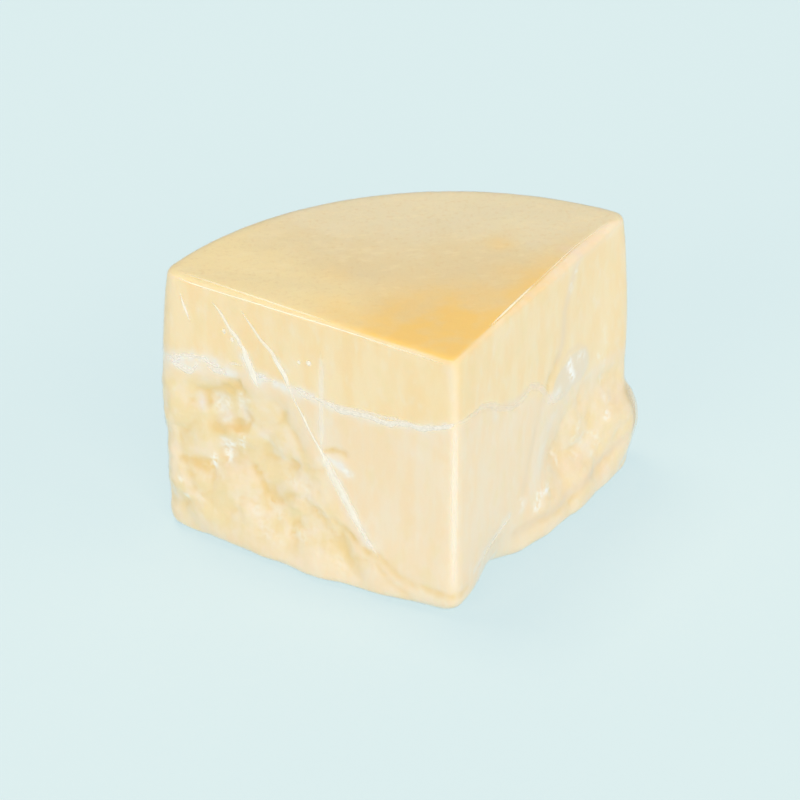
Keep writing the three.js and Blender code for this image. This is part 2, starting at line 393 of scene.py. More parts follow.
# Patches that the crumpled film makes look milky, and painted highlights on pale lumps of the crags: a face,
# a stroke, its reach and how milky it is
MILKY_AND_SHEEN = [
    ("left", [(150, 88), (140, 91), (133, 93), (128, 93), (122, 93), (114, 90)], 3.4, 0.9),
    ("left", [(142, 88), (135, 87), (131, 90)], 2.8, 0.85),
    ("left", [(122, 90), (117, 89)], 2.4, 0.8),
    ("left", [(107, 101), (104, 94), (101, 91), (97, 93)], 3, 0.9),
    ("left", [(91, 92), (85, 91), (80, 91)], 3, 0.85),
    ("left", [(79, 92), (73, 91)], 2.6, 0.8),
    ("left", [(73, 90), (64, 89), (52, 89), (43, 89), (30, 91), (18, 93), (4, 99)], 2.2, 0.6),
    ("left", [(86, 100), (90, 104)], 1.8, 0.4),
    ("left", [(114, 113), (110, 107)], 2.2, 0.35),
    ("left", [(66, 62), (61, 54), (56, 44), (49, 34), (43, 26)], 2.6, 0.7),
    ("left", [(64, 62), (59, 61), (55, 58)], 2.8, 0.9),
    ("left", [(68, 110), (68, 96), (68, 81), (68, 67)], 1.9, 0.4),
    ("left", [(103, 66), (98, 62), (90, 58)], 2, 0.4),
    ("left", [(93, 56), (86, 52)], 1.8, 0.25),
    ("left", [(131, 73), (129, 68)], 2.2, 0.6),
    ("left", [(121, 74), (118, 66)], 3.8, 0.6),
    ("left", [(110, 76), (108, 69)], 2.8, 0.5),
    ("left", [(117, 52), (115, 46)], 3.4, 0.5),
    ("right", [(87, 59), (80, 52), (74, 42), (67, 33)], 4, 0.3),
    ("right", [(83, 70), (89, 70)], 2.4, 0.9),
    ("right", [(109, 34), (113, 29)], 4.5, 0.35),
    ("right", [(33, 92), (35, 86)], 2, 0.3),
    ("right", [(48, 28), (39, 23), (28, 20), (18, 16)], 1.8, 0.45),
    ("right", [(61, 28), (58, 25)], 2.4, 0.4),
]
# Folds that look dull, in the same way: the doubled film's grey, and painted shade in the folds and grooves
DULL_SHADED_FOLDS = [
    ("right", [(16, 97), (26, 96), (36, 90), (49, 85), (58, 85), (65, 86), (71, 83), (77, 75), (84, 69)],
     1.7, 0.6),
    ("right", [(76, 72), (72, 64), (67, 54), (63, 42), (60, 34)], 2.4, 0.5),
    ("right", [(96, 50), (91, 46), (88, 40)], 1.6, 0.3),
    ("right", [(140, 23), (130, 20), (115, 17), (96, 15), (81, 13), (69, 14), (55, 14)], 2.6, 0.8),
    ("right", [(107, 131), (101, 126), (97, 118), (93, 109), (92, 95), (89, 87)], 2.6, 0.65),
    ("right", [(91, 82), (97, 86), (106, 85), (113, 80)], 1.4, 0.5),
]
# Painted highlights, glints of the film's blisters and lit crowns of lumps put in the cheese's colour, in
# the same way
PAINTED_GLINTS = [
    ("left", [(122, 74), (122, 69)], 2, 0.45),
    ("left", [(118, 74), (117, 71)], 1.7, 0.45),
    ("left", [(110, 79), (110, 74)], 1.7, 0.45),
    ("left", [(106, 79), (106, 75)], 1.5, 0.4),
    ("left", [(118, 53), (115, 53)], 1.9, 0.85),
    ("left", [(56, 59), (54, 58)], 1.5, 0.7),
    ("left", [(117, 48), (117, 45)], 2, 0.9),
    ("left", [(109, 59), (110, 53)], 1.5, 0.8),
    ("left", [(124, 44), (124, 40)], 1.9, 0.95),
    ("left", [(141, 28), (140, 28)], 1.6, 0.55),
    ("left", [(140, 21), (137, 20)], 1.7, 0.7),
    ("left", [(130, 22), (129, 21)], 1.6, 0.45),
    ("left", [(102, 27), (98, 23), (95, 16), (89, 14)], 3.2, 0.24),
    ("left", [(95, 30), (91, 29), (88, 25)], 2.2, 0.3),
    ("left", [(82, 19), (79, 21), (76, 18)], 2.2, 0.3),
    ("left", [(84, 46), (79, 44), (74, 41)], 2.4, 0.28),
    ("left", [(70, 35), (67, 33)], 2.2, 0.28),
    ("left", [(58, 14), (54, 9)], 2.4, 0.24),
    ("right", [(79, 25), (76, 26), (72, 26)], 2.4, 0.9),
    ("right", [(70, 24), (69, 21)], 2.4, 0.85),
    ("right", [(57, 30), (58, 27)], 2.2, 0.5),
    ("right", [(126, 41), (125, 39)], 1.9, 0.65),
    ("right", [(107, 43), (107, 41)], 1.9, 0.45),
    ("right", [(98, 81), (100, 75), (102, 71)], 2.2, 1),
    ("right", [(107, 79), (110, 78)], 2.4, 0.55),
    ("right", [(103, 126), (102, 124)], 1.8, 0.45),
    ("right", [(99, 120), (98, 118)], 1.8, 0.45),
    ("right", [(92, 36), (93, 30)], 2, 0.4),
    ("right", [(103, 39), (104, 36)], 1.8, 0.4),
    ("right", [(103, 30), (105, 28)], 1.8, 0.35),
    ("right", [(106, 42), (107, 44)], 1.8, 0.4),
    ("right", [(109, 34), (113, 36), (118, 33), (119, 28), (114, 25)], 1.5, 0.4),
    ("right", [(123, 71), (126, 69)], 1.9, 0.35),
    ("right", [(128, 65), (130, 63)], 1.8, 0.3),
    ("right", [(127, 58), (128, 55)], 1.9, 0.35),
    ("right", [(127, 48), (128, 46)], 1.8, 0.35),
    ("right", [(128, 83), (130, 74)], 2, 0.25),
]
# Golden stains on the top: a share of the radius, a turn from the middle, a reach in mm and a share
STAINS = [
    (0.46, -35, 11, 0.45),
    (0.36, -30, 9, 0.4),
    (0.6, -22, 8, 0.22),
    (0.68, 25, 6, 0.4),
    (0.5, 33, 13, 0.35),
    (0.22, 34, 1.3, 0.9),
]
# Where the film stands off the cheese at the right face's foot
STAND_OFF = ("right", [(147, 40), (150, 32), (149, 23)], 4)
STAND_OFF_DEPTH = 1.2 * MM
SKIN_VOXEL = 1.15 * MM
SKIN_SMOOTHING = 8

# The worn edge between the top and the right face: its width at the front, what it gains on the way to the
# rim, the share that it loses at the rim's corner, and its depth
WORN_START = 3.5 * MM
WORN_GAIN = 3.2 * MM
WORN_GAIN_END = 120 * MM
WORN_CORNER_LOSS = 0.7
WORN_CORNER = (130 * MM, 146 * MM)
WORN_DEPTH = 5 * MM


def worn_width(along):
    """How far in the top's right edge is worn round."""
    width = WORN_START + WORN_GAIN * ease(along, 0, WORN_GAIN_END)
    return width * (1 - WORN_CORNER_LOSS * ease(along, *WORN_CORNER))


def wear_right_edge(mesh):
    """Rounds the edge between the top and the right face to an ellipse."""
    points = vectors_of(mesh.vertices, "co")
    along, up, out = on_face(points, "right")
    width = worn_width(along)
    across = np.maximum(0, 1 + out / width)
    upward = np.maximum(0, 1 + (up - HEIGHT) / WORN_DEPTH)
    shrink = 1 / np.maximum(1, np.hypot(across, upward))
    worn = (across > 0) & (upward > 0)
    points[:, :2] += np.where(worn, across * (shrink - 1) * width, 0)[:, None] * FACES["right"]["out"]
    points[:, 2] += np.where(worn, upward * (shrink - 1) * WORN_DEPTH, 0)
    mesh.vertices.foreach_set("co", points.astype(np.float32).ravel())
    mesh.update()


skin = even_skin(SKIN_VOXEL, SKIN_SMOOTHING)
wear_right_edge(skin)
skin_points = vectors_of(skin.vertices, "co")
skin_normals = vectors_of(skin.vertex_normals, "vector")
height_share = skin_points[:, 2] / HEIGHT
from_axis = skin_points[:, :2] - wheel_axis
radius = np.linalg.norm(from_axis, axis=1)
turn_left = -np.degrees(np.arctan2(from_axis[:, 0], from_axis[:, 1]))
from_front = skin_points[:, :2] - np.array(front_edge[:2])
along_right, _, out_right = on_face(skin_points, "right")
from_right_edge = -out_right

# The rind: the top up to the worn edge, and the rim. Each pair is where a rise begins and ends.
TOP_SLANT = (0.45, 0.9)
TOP_HEIGHT = (0.9 * HEIGHT, 0.95 * HEIGHT)
TOP_FROM_EDGE = (0.75, 1.05)
RIM_RADIUS = (WHEEL_RADIUS - 9 * MM, WHEEL_RADIUS - 3 * MM)
RIM_SLANT = (0.5, 0.8)
outward = (skin_normals[:, :2] * from_axis).sum(1) / np.maximum(radius, MM)
rim_share = ease(radius, *RIM_RADIUS) * ease(outward, *RIM_SLANT)
flat_top = ease(from_right_edge / worn_width(along_right), *TOP_FROM_EDGE)
top_share = ease(skin_normals[:, 2], *TOP_SLANT) * ease(skin_points[:, 2], *TOP_HEIGHT) * flat_top

# The amber in the top's front corner, along its right edge, in stains and on the front edge above the seam
AMBER_CORNER = (26 * MM, 86 * MM)
AMBER_BAND = (3 * MM, 26 * MM)
AMBER_BAND_END = (60 * MM, 138 * MM)
AMBER_BAND_SHARE = 0.85
AMBER_FRONT = (3 * MM, 20 * MM)
AMBER_FRONT_SHARE = 0.2
below_seam = below_seam_share(skin_points)
amber_corner = 1 - ease(radius, *AMBER_CORNER)
amber_band = (1 - ease(from_right_edge, *AMBER_BAND)) * (1 - ease(radius, *AMBER_BAND_END))
amber = np.maximum(amber_corner, AMBER_BAND_SHARE * amber_band) * top_share
for share_of_radius, degrees, reach, share in STAINS:
    aside = np.linalg.norm(skin_points - np.array(wheel_place(share_of_radius, degrees)), axis=1)
    amber = np.maximum(amber, share * np.exp(-((aside / (reach * MM)) ** 2)))
near_front = 1 - ease(np.linalg.norm(from_front, axis=1), *AMBER_FRONT)
amber = np.maximum(amber, AMBER_FRONT_SHARE * near_front * (1 - below_seam) * (1 - top_share))

# Where the stretched film is pale and a highlight is painted: along the front edge, in a band that widens
# and leans left above the seam. On the worn edge towards the rim the pale is a painted highlight only.
SHEEN_BAND_TURN = 0.755
SHEEN_BAND_REACH_ABOVE = 3.4 * MM
SHEEN_BAND_REACH_BELOW = 2.4 * MM
SHEEN_BAND_LEAN = 3.5 * MM
SHEEN_BAND_START = (0.1, 0.2)
SHEEN_BAND_END = (0.95, 1.0)
SHEEN_BAND_SHARE = 0.42
WORN_HIGHLIGHT_HEIGHT = (0.955, 0.985)
WORN_HIGHLIGHT_ALONG = (50 * MM, 130 * MM)
WORN_HIGHLIGHT_SHARE = 0.3
sheen_band_reach = np.where(height_share > SHEEN_BAND_TURN, SHEEN_BAND_REACH_ABOVE, SHEEN_BAND_REACH_BELOW)
sheen_band_lean = SHEEN_BAND_LEAN * ease(height_share, SHEEN_BAND_TURN, 1.0)[:, None] * FACES["left"]["along"]
from_sheen_band = np.linalg.norm(from_front - sheen_band_lean, axis=1)
stretch_and_sheen = np.exp(-((from_sheen_band / sheen_band_reach) ** 2))
stretch_and_sheen *= ease(height_share, *SHEEN_BAND_START) * (1 - ease(height_share, *SHEEN_BAND_END))
worn_highlight = (1 - flat_top) * ease(height_share, *WORN_HIGHLIGHT_HEIGHT) * ease(along_right, *WORN_HIGHLIGHT_ALONG)

# The rind is straw to the left, from one turn in degrees to another, and pale at the back and right.
STRAW_TURN = (8, 42)
PALE_RADIUS = (75 * MM, 140 * MM)
PALE_TURN_END = (0, 35)
paint(skin, "broken", broken_share(skin_points))
# The folds' grey and their painted shade
paint(skin, "dull", strongest(skin_points, DULL_SHADED_FOLDS))
# Milky film, and in the crags painted highlights on pale lumps
paint(skin, "milky_and_sheen", strongest(skin_points, MILKY_AND_SHEEN))
# The painted highlights of the film's glints and of lit lumps
paint(skin, "painted_glare", strongest(skin_points, PAINTED_GLINTS))
# Painted highlights: on the pale stretched film of the front edge, and on the worn edge
paint(skin, "stretch_and_sheen", np.maximum(SHEEN_BAND_SHARE * stretch_and_sheen, WORN_HIGHLIGHT_SHARE * worn_highlight))
paint(skin, "below_seam", below_seam)
paint(skin, "rind", np.maximum(top_share, rim_share))
paint(skin, "rim", rim_share)
paint(skin, "straw", ease(turn_left, *STRAW_TURN))
paint(skin, "back", ease(radius, *PALE_RADIUS) * (1 - ease(turn_left, *PALE_TURN_END)))
paint(skin, "amber", amber)
paint(skin, "pocket", stroke_share(skin_points, *AIR_POCKET))
paint(skin, "hollow_depth", MM * strongest(skin_points, HOLLOWS))
paint(skin, "stand_off", stroke_share(skin_points, *STAND_OFF))

# The shape tree: the skin is drawn in under the film, and lumps, hollows and the rind's bumps are added. It
# keeps how deep each point lies among its neighbours, for the painted golden shade of the hollows, and the
# relief itself.
cheese_tree, given = shape_tree(
    "cheese_relief",
    [
        "Under film", "Large lump", "Large lump depth", "Small lump", "Small lump depth", "Hollow share",
        "Rind unevenness", "Stand off depth",
    ],
)
LUMP_WANDER = 0.35
RIND_BUMP = 5 * MM
HOLLOW_RAGGED = 5 * MM
HOLLOW_CONTRAST = 2.2
HOLLOW_MEAN = 0.8
NEIGHBOUR_STEPS = 36
place = add_node(cheese_tree, "GeometryNodeInputPosition").outputs[0]
wander = times(cheese_tree, given.outputs["Large lump"], LUMP_WANDER)
ragged = wandered(cheese_tree, place, given.outputs["Large lump"], wander)
large = lumps(cheese_tree, ragged, given.outputs["Large lump"])
large = times(cheese_tree, large, given.outputs["Large lump depth"])
small = lumps(cheese_tree, ragged, given.outputs["Small lump"])
small = times(cheese_tree, small, given.outputs["Small lump depth"])
crags = times(cheese_tree, sum_up(cheese_tree, "ADD", large, small), point_value(cheese_tree, "broken"))
rind_bumps = times(
    cheese_tree,
    unevenness(cheese_tree, place, RIND_BUMP, 3.0),
    point_value(cheese_tree, "rind"),
    given.outputs["Rind unevenness"],
)
patchy = patchiness(cheese_tree, place, HOLLOW_RAGGED, 3.0, HOLLOW_CONTRAST, HOLLOW_MEAN)
patchy = sum_up(cheese_tree, "MAXIMUM", patchy, 0.0)
hollow = times(cheese_tree, point_value(cheese_tree, "hollow_depth"), patchy, given.outputs["Hollow share"])
drawn_in = sum_up(
    cheese_tree,
    "MULTIPLY_ADD",
    point_value(cheese_tree, "stand_off"),
    given.outputs["Stand off depth"],
    given.outputs["Under film"],
)
raised = sum_up(cheese_tree, "ADD", crags, rind_bumps)
relief = sum_up(cheese_tree, "SUBTRACT", raised, sum_up(cheese_tree, "ADD", drawn_in, hollow))
normal = add_node(cheese_tree, "GeometryNodeInputNormal").outputs[0]
kept = keep_value(cheese_tree, given.outputs["Geometry"], "hollow", hollow)
kept = keep_value(cheese_tree, kept, "relief", relief)
kept = keep_value(cheese_tree, kept, "way_out", normal, "FLOAT_VECTOR")
out_by_relief = of_vectors(cheese_tree, "SCALE", normal, point_value(cheese_tree, "relief"))
moved = add_node(cheese_tree, "GeometryNodeSetPosition", {"Geometry": kept, "Offset": out_by_relief})
around = add_node(
    cheese_tree,
    "GeometryNodeBlurAttribute",
    {"Value": place, "Iterations": NEIGHBOUR_STEPS},
    data_type="FLOAT_VECTOR",
)
to_around = of_vectors(cheese_tree, "SUBTRACT", around.outputs[0], place)
depth_among = of_vectors(cheese_tree, "DOT_PRODUCT", to_around, normal)
kept = keep_value(cheese_tree, moved.outputs[0], "depth_among", depth_among)
end_tree(cheese_tree, given, kept)


def new_material(name):
    """A material with an empty node tree and its output node."""
    material = bpy.data.materials.new(name)
    material.use_nodes = True
    material.node_tree.nodes.clear()
    return material, material.node_tree, material.node_tree.nodes.new("ShaderNodeOutputMaterial")


def painted(tree, name):
    """A number that was painted on the mesh, in a material."""
    return add_node(tree, "ShaderNodeAttribute", attribute_name=name).outputs["Fac"]


def mix_colours(tree, share, first, second):
    """One colour going over into another by a share."""
    return add_node(tree, "ShaderNodeMix", {0: share, 6: first, 7: second}, data_type="RGBA").outputs[2]


def rise(tree, value, low, high, top=1.0):
    """A smooth rise from 0 to top while a value goes from low to high."""
    ramp = add_node(
        tree,
        "ShaderNodeMapRange",
        {0: value, 1: low, 2: high, 3: 0.0, 4: top},
        interpolation_type="SMOOTHSTEP",
    )
    return ramp.outputs[0]


PASTE_CREAM = (0.92, 0.735, 0.455, 1)
PASTE_PEACH = (0.92, 0.69, 0.375, 1)
KEEL_CREAM = (0.895, 0.74, 0.535, 1)
KEEL_PEACH = (0.91, 0.705, 0.455, 1)
CRAG_CREAM = (0.905, 0.74, 0.52, 1)
CRAG_STRAW = (0.88, 0.695, 0.39, 1)
# Painted golden shade in the hollows
HOLLOW_SHADE_GOLD = (0.85, 0.61, 0.265, 1)
RIND_BEIGE = (0.795, 0.645, 0.36, 1)
RIND_STRAW = (0.88, 0.725, 0.39, 1)
RIND_PALE = (0.82, 0.71, 0.455, 1)
RIND_PIT = (0.74, 0.54, 0.25, 1)
RIND_FLECK = (0.90, 0.765, 0.46, 1)
RIND_AMBER = (0.92, 0.61, 0.17, 1)
# The rim's own straw, painted lighter and warmer to offset the cool shade at the back
RIM_STRAW_LIFTED = (0.93, 0.695, 0.40, 1)
RIM_LIFT_SHARE = 0.65
FACE_PALE = (0.91, 0.79, 0.62, 1)
FACE_STRAW = (0.86, 0.69, 0.36, 1)
# The pale of the milky film, and of painted highlights on lumps and along the edges
MILK_AND_SHEEN_WHITE = (0.865, 0.805, 0.72, 1)
# The doubled film's grey and the painted shade of its folds and grooves
FOLD_GREY_AND_SHADE = (0.83, 0.665, 0.475, 1)
POCKET_GREY = (0.82, 0.70, 0.535, 1)
# Painted highlights on the cheese: the film's glints and the lit crowns of lumps
PAINTED_GLINT_WHITE = (0.97, 0.94, 0.88, 1)
DEPTH_SCALE = 1 / MM
# How the streaks, the faces' patches and the rind's wrinkles are drawn out, and the size of each pattern
STREAK_STRETCH = (1.0, 1.0, 0.3)
FACE_STRETCH = (1.0, 1.0, 0.6)
RIND_STRETCH = (0.5, 1.0, 1.0)
STREAK = 9 * MM
CRAG_CLOUD = 24 * MM
CRAG_PATCH = 7 * MM
PALE_PATCH = 5 * MM
STRAW_PATCH = 8 * MM
RIND_CLOUD = 22 * MM
RIND_PATCH = 14 * MM
PIT = 2.2 * MM
FLECK = 3.5 * MM
AMBER_PATCH = 13 * MM
AMBER_CONTRAST = 1.8
MILK_PATCH = 4.5 * MM
MILK_CONTRAST = 2.2
SPARKLE = 2.6 * MM
CRUMB = 1.1 * MM

cheese_material, nodes, output = new_material("cheese")
object_place = add_node(nodes, "ShaderNodeTexCoord").outputs["Object"]
streaks = unevenness(nodes, of_vectors(nodes, "MULTIPLY", object_place, STREAK_STRETCH), STREAK, 3.0)
streaks = rise(nodes, streaks, -0.16, 0.16)
paste = mix_colours(nodes, streaks, PASTE_CREAM, PASTE_PEACH)
keel = mix_colours(nodes, streaks, KEEL_CREAM, KEEL_PEACH)
paste = mix_colours(nodes, painted(nodes, "below_seam"), paste, keel)
crag_tone = unevenness(nodes, object_place, CRAG_CLOUD, 2.0)
crag_tone = sum_up(nodes, "ADD", crag_tone, unevenness(nodes, object_place, CRAG_PATCH, 3.0))
crag = mix_colours(nodes, rise(nodes, crag_tone, -0.2, 0.2), CRAG_CREAM, CRAG_STRAW)
paste = mix_colours(nodes, painted(nodes, "broken"), paste, crag)
drawn_out = of_vectors(nodes, "MULTIPLY", object_place, FACE_STRETCH)
pale_patches = unevenness(nodes, drawn_out, PALE_PATCH, 4.0)
paste = mix_colours(nodes, rise(nodes, pale_patches, 0.0, 0.25, 0.35), paste, FACE_PALE)
straw_patches = unevenness(nodes, drawn_out, STRAW_PATCH, 4.0)
paste = mix_colours(nodes, rise(nodes, straw_patches, 0.0, 0.25, 0.35), paste, FACE_STRAW)
# Painted shade: hollows and points lying deep among their neighbours are painted a darker gold
depth_mm = times(nodes, painted(nodes, "depth_among"), DEPTH_SCALE)
hollow_mm = times(nodes, painted(nodes, "hollow"), DEPTH_SCALE)
shade_by_depth = times(nodes, rise(nodes, depth_mm, 0.05, 0.8, 0.75), painted(nodes, "broken"))
hollow_shade = sum_up(nodes, "MAXIMUM", shade_by_depth, rise(nodes, hollow_mm, 0.06, 0.95, 1.0))
paste = mix_colours(nodes, hollow_shade, paste, HOLLOW_SHADE_GOLD)
straw_share = unevenness(nodes, object_place, RIND_CLOUD, 4.0)
straw_share = sum_up(nodes, "ADD", painted(nodes, "straw"), straw_share)
rind = mix_colours(nodes, rise(nodes, straw_share, 0.0, 0.9), RIND_BEIGE, RIND_STRAW)
pale_share = unevenness(nodes, object_place, RIND_PATCH, 5.0)
pale_share = sum_up(nodes, "ADD", painted(nodes, "back"), pale_share)
rind = mix_colours(nodes, rise(nodes, pale_share, 0.0, 0.9), rind, RIND_PALE)
pits = unevenness(nodes, object_place, PIT, 5.0)
rind = mix_colours(nodes, rise(nodes, pits, 0.0, 0.25, 0.36), rind, RIND_PIT)
flecks = unevenness(nodes, of_vectors(nodes, "MULTIPLY", object_place, RIND_STRETCH), FLECK, 5.0)
rind = mix_colours(nodes, rise(nodes, flecks, 0.02, 0.22, 0.36), rind, RIND_FLECK)
# The rim is painted a lighter, warmer straw, a painted lift against the shade it stands in
rind = mix_colours(nodes, times(nodes, painted(nodes, "rim"), RIM_LIFT_SHARE), rind, RIM_STRAW_LIFTED)
patchy_amber = patchiness(nodes, object_place, AMBER_PATCH, 5.0, AMBER_CONTRAST)
amber_share = sum_up(nodes, "MINIMUM", times(nodes, painted(nodes, "amber"), patchy_amber), 1.0)
rind = mix_colours(nodes, amber_share, rind, RIND_AMBER)
paste = mix_colours(nodes, amber_share, paste, RIND_AMBER)
skin_colour = mix_colours(nodes, painted(nodes, "rind"), paste, rind)
# Painted shade along the film's folds and grooves, greyer where the film lies doubled
skin_colour = mix_colours(nodes, painted(nodes, "dull"), skin_colour, FOLD_GREY_AND_SHADE)
pocket_share = rise(nodes, painted(nodes, "pocket"), 0.3, 0.55, 0.9)
skin_colour = mix_colours(nodes, pocket_share, skin_colour, POCKET_GREY)
# Milky film, and painted highlights on pale lumps and along the edges, in one pale colour
mottle = patchiness(nodes, object_place, MILK_PATCH, 2.0, MILK_CONTRAST)
milky_and_sheen_share = times(nodes, painted(nodes, "milky_and_sheen"), sum_up(nodes, "MAXIMUM", mottle, 0.0))
milky_and_sheen_share = sum_up(nodes, "MAXIMUM", milky_and_sheen_share, painted(nodes, "stretch_and_sheen"))
# The painted highlights of the glints, broken up by noise
sparkle = rise(nodes, unevenness(nodes, object_place, SPARKLE, 2.0), -0.12, 0.1)
white_share = times(nodes, painted(nodes, "painted_glare"), sparkle)
skin_colour = mix_colours(nodes, sum_up(nodes, "MINIMUM", milky_and_sheen_share, 1.0), skin_colour, MILK_AND_SHEEN_WHITE)
skin_colour = mix_colours(nodes, white_share, skin_colour, PAINTED_GLINT_WHITE)
crumbs = unevenness(nodes, object_place, CRUMB, 4.0)
grain = add_node(nodes, "ShaderNodeBump", {"Strength": 0.25, "Distance": 0.35 * MM, "Height": crumbs})
cheese_shader = add_node(
    nodes,
    "ShaderNodeBsdfPrincipled",
    {
        "Base Color": skin_colour,
        "Roughness": 0.5,
        "Subsurface Weight": 0.2,
        "Subsurface Radius": (1.0, 0.6, 0.3),
        "Subsurface Scale": 4 * MM,
        "Normal": grain.outputs[0],
    },
)
nodes.links.new(cheese_shader.outputs[0], output.inputs["Surface"])

cheese = shaped_piece(
    "cheese_body",
    skin,
    cheese_tree,
    {
        "Under film": 0.45 * MM,
        "Large lump": 14 * MM,
        "Large lump depth": 1.7 * MM,
        "Small lump": 5.5 * MM,
        "Small lump depth": 0.9 * MM,
        "Hollow share": 0.5,
        "Rind unevenness": 0.35 * MM,
        "Stand off depth": STAND_OFF_DEPTH,
        "Material": cheese_material,
    },
)


# The film
# A clear bag of thin plastic, drawn tight on the cheese by the vacuum. It follows the crags but bridges the
# crevices in small blisters. A pocket of air stands out on the right face, and film stands off its foot.
film_skin = cheese.data.copy()
film_skin.materials.clear()

film_tree, given = shape_tree(
    "film_over_relief",
    ["Gap", "Stand off depth", "Ripple", "Ripple height", "Blister", "Blister height", "Pocket height"],
)
BRIDGE_STEPS = 10
place = add_node(film_tree, "GeometryNodeInputPosition").outputs[0]
relief = point_value(film_tree, "relief")
bridged = sum_up(
    film_tree, "MULTIPLY_ADD", point_value(film_tree, "stand_off"), given.outputs["Stand off depth"], relief
)
spread = add_node(
    film_tree, "GeometryNodeBlurAttribute", {"Value": bridged, "Iterations": BRIDGE_STEPS}, data_type="FLOAT"
)
tight = sum_up(film_tree, "MAXIMUM", spread.outputs[0], relief)
ripples = unevenness(film_tree, place, given.outputs["Ripple"])
ripples = times(film_tree, ripples, given.outputs["Ripple height"])
blisters = times(
    film_tree,
    unevenness(film_tree, place, given.outputs["Blister"], 1.0),
    given.outputs["Blister height"],
    point_value(film_tree, "broken"),
)
ripples = sum_up(film_tree, "ADD", ripples, sum_up(film_tree, "MAXIMUM", blisters, 0.0))
pocket = times(film_tree, point_value(film_tree, "pocket"), given.outputs["Pocket height"])
lift = sum_up(film_tree, "ADD", ripples, pocket)
lift = sum_up(film_tree, "ADD", lift, given.outputs["Gap"])
over_cheese = sum_up(film_tree, "SUBTRACT", sum_up(film_tree, "ADD", tight, lift), relief)
offset = of_vectors(film_tree, "SCALE", point_value(film_tree, "way_out", "FLOAT_VECTOR"), over_cheese)
inputs = {"Geometry": given.outputs["Geometry"], "Offset": offset}
moved = add_node(film_tree, "GeometryNodeSetPosition", inputs)
end_tree(film_tree, given, moved.outputs[0])

HEAD_ON_MIRROR = 0.04
STAND_OFF_HAZE = 0.5
HAZE_CREAM = (0.76, 0.725, 0.59, 1)
FILM_WOBBLE = 3 * MM
film_material, nodes, output = new_material("clear_film")
object_place = add_node(nodes, "ShaderNodeTexCoord").outputs["Object"]
wobble = add_node(
    nodes,
    "ShaderNodeBump",
    {"Strength": 0.3, "Distance": 0.4 * MM, "Height": unevenness(nodes, object_place, FILM_WOBBLE)},
)
clear = add_node(nodes, "ShaderNodeBsdfTransparent", {"Color": (1, 1, 1, 1)})
gloss = add_node(
    nodes, "ShaderNodeBsdfGlossy", {"Color": (1, 1, 1, 1), "Roughness": 0.13, "Normal": wobble.outputs[0]}
)
facing = add_node(nodes, "ShaderNodeLayerWeight", {"Blend": 0.5, "Normal": wobble.outputs[0]})
slant = facing.outputs["Facing"]
mirror_share = sum_up(
    nodes, "MULTIPLY_ADD", sum_up(nodes, "POWER", slant, 5.0), 1 - HEAD_ON_MIRROR, HEAD_ON_MIRROR
)
glazed = add_node(nodes, "ShaderNodeMixShader", {0: mirror_share, 1: clear.outputs[0], 2: gloss.outputs[0]})
haze = add_node(nodes, "ShaderNodeBsdfDiffuse", {"Color": HAZE_CREAM})
haze_share = times(nodes, painted(nodes, "stand_off"), STAND_OFF_HAZE)
hazed = add_node(nodes, "ShaderNodeMixShader", {0: haze_share, 1: glazed.outputs[0], 2: haze.outputs[0]})
nodes.links.new(hazed.outputs[0], output.inputs["Surface"])

film = shaped_piece(
    "film_wrap",
    film_skin,
    film_tree,
    {
        "Gap": 0.3 * MM,
        "Stand off depth": STAND_OFF_DEPTH,
        "Ripple": 12 * MM,
        "Ripple height": 0.25 * MM,
        "Blister": 4.5 * MM,
        "Blister height": 1.6 * MM,
        "Pocket height": 1.6 * MM,
        "Material": film_material,
    },
)


# The film's seam, creases and stretched edges
# Where the bag's slack was drawn in, the film lies doubled in pleats: a crumpled seam round the chunk,
# creases that run off it, and taut pale lines on the edges. Each is film pressed flat on film. The pale
# lines on the edges are also painted highlights.

# Points on a face are (along, up, half width) in millimetres. A stroke is its whiteness and its points.
SEAM_CRISP_LEFT = [
    (75, 92, 0.6), (67, 91, 1.0), (61, 90, 1.4), (59, 89, 1.5), (51, 90, 1.5),
    (43, 91, 1.7), (35, 90, 1.7), (30, 92, 1.5), (24, 93, 1.4), (19, 93, 1.5),
    (11, 96, 1.4), (3, 99, 1.2),
]
SEAM_RIGHT = [
    (9, 99, 1.2), (15, 98, 1.4), (23, 98, 1.6), (30, 95, 1.8), (38, 89, 1.8),
    (47, 84, 1.6), (54, 83, 1.6), (60, 84, 1.9), (64, 86, 2.1), (70, 83, 2.1),
    (76, 77, 2.1), (81, 70, 2.3), (87, 68, 2.0), (90, 70, 0.8),
]
LEFT_SEAM_PARTS = [
    (0.41, [(147, 89, 0.6), (142, 91, 1.0), (138, 93, 1.2), (133, 94, 0.9), (128, 94, 1.0),
            (125, 93, 0.9), (121, 92, 0.9), (117, 91, 0.4)]),
    (0.49, [(144, 88, 0.6), (140, 87, 1.4), (136, 86, 1.7), (134, 86, 1.2), (130, 91, 0.6)]),
    (0.56, [(143, 91, 0.9), (142, 91, 2.0), (139, 91, 0.9)]),
    (0.56, [(126, 91, 0.6), (122, 90, 1.5), (119, 90, 1.7), (116, 89, 0.6)]),
    (0.38, [(115, 95, 0.4), (112, 96, 1.0), (108, 96, 0.4)]),
    (0.34, [(103, 94, 0.4), (99, 94, 1.0), (96, 95, 0.4)]),
    (0.22, [(98, 92, 0.6), (95, 93, 1.2), (90, 93, 0.6)]),
    (0.52, [(82, 94, 0.4), (78, 93, 1.0), (73, 92, 0.4)]),
    (0.38, [(80, 92, 0.6), (76, 91, 1.4), (72, 91, 0.4)]),
    (0.38, [(64, 92, 0.4), (59, 91, 1.0), (51, 92, 1.0), (43, 93, 0.9), (36, 93, 1.0),
            (30, 94, 0.9), (24, 94, 0.8), (18, 94, 0.4)]),
]
